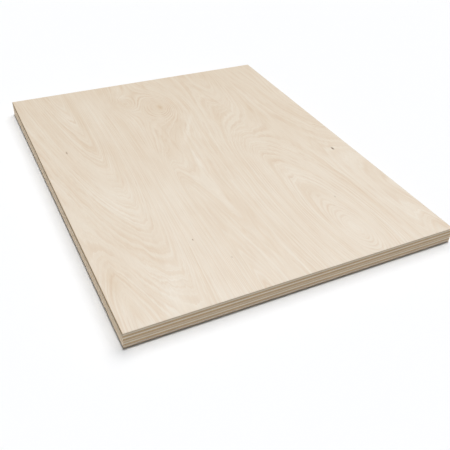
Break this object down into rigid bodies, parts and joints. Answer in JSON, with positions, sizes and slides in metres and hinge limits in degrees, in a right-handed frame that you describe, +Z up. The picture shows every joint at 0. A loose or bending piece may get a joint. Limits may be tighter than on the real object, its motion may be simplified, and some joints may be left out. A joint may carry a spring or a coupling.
{
  "type": "plywood sheet",
  "caption": "Rectangular sheet of birch plywood, lying flat, with square-cut edges that show its crossed veneers, a sanded arris round the face and a small bevel round the back.",
  "frame": {"origin": "middle of the underside", "axes": "+Z up through the thickness, from the back veneer to the face veneer; +Y along the grain of the faces, the sheet's length; +X across that grain, its width"},
  "size_m": [0.3, 0.38, 0.015],
  "materials": {
    "face_veneer": "sanded bare birch, matt",
    "back_veneer": "sanded bare birch, matt",
    "cross_plies": "saw-cut birch veneer, matt",
    "long_plies": "saw-cut birch veneer, matt"
  },
  "bodies": {
    "root": {"face_veneer": "face_veneer", "cross_ply_2": "cross_plies", "long_ply_3": "long_plies", "cross_ply_4": "cross_plies", "long_ply_5": "long_plies", "cross_ply_6": "cross_plies", "long_ply_7": "long_plies", "cross_ply_8": "cross_plies", "long_ply_9": "long_plies", "cross_ply_10": "cross_plies", "back_veneer": "back_veneer"}
  },
  "joints": []
}
